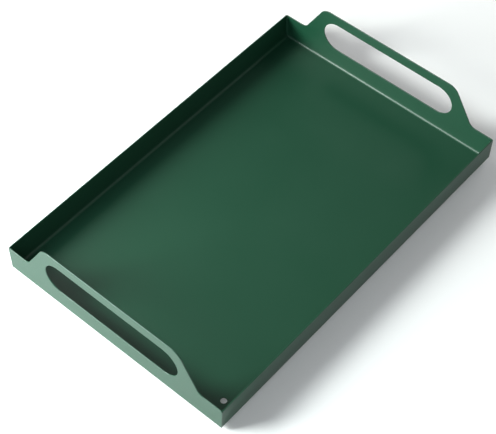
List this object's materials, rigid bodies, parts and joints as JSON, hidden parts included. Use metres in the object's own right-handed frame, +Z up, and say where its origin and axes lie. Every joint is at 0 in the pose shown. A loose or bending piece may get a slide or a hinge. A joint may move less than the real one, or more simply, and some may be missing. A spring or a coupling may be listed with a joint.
{
  "type": "serving tray",
  "caption": "Rectangular sheet-metal serving tray with low side walls, upright ends cut out as carrying handles, and a small hanging hole in one floor corner.",
  "frame": {"origin": "middle of the tray's outline, on the plane its rubber feet stand on", "axes": "+X along the tray from the near end handle to the far end handle, +Y towards the left side wall, +Z up"},
  "size_m": [0.4, 0.2628, 0.0736],
  "materials": {
    "green_powder_coat": "satin dark green powder coat on sheet steel",
    "foot_rubber": "matt black rubber"
  },
  "bodies": {
    "root": {"tray_pan": "green_powder_coat", "near_end_handle": "green_powder_coat", "far_end_handle": "green_powder_coat", "corner_weld_near_left": "green_powder_coat", "corner_weld_near_right": "green_powder_coat", "corner_weld_far_left": "green_powder_coat", "corner_weld_far_right": "green_powder_coat", "foot_near_left": "foot_rubber", "foot_near_right": "foot_rubber", "foot_far_left": "foot_rubber", "foot_far_right": "foot_rubber"}
  },
  "joints": []
}
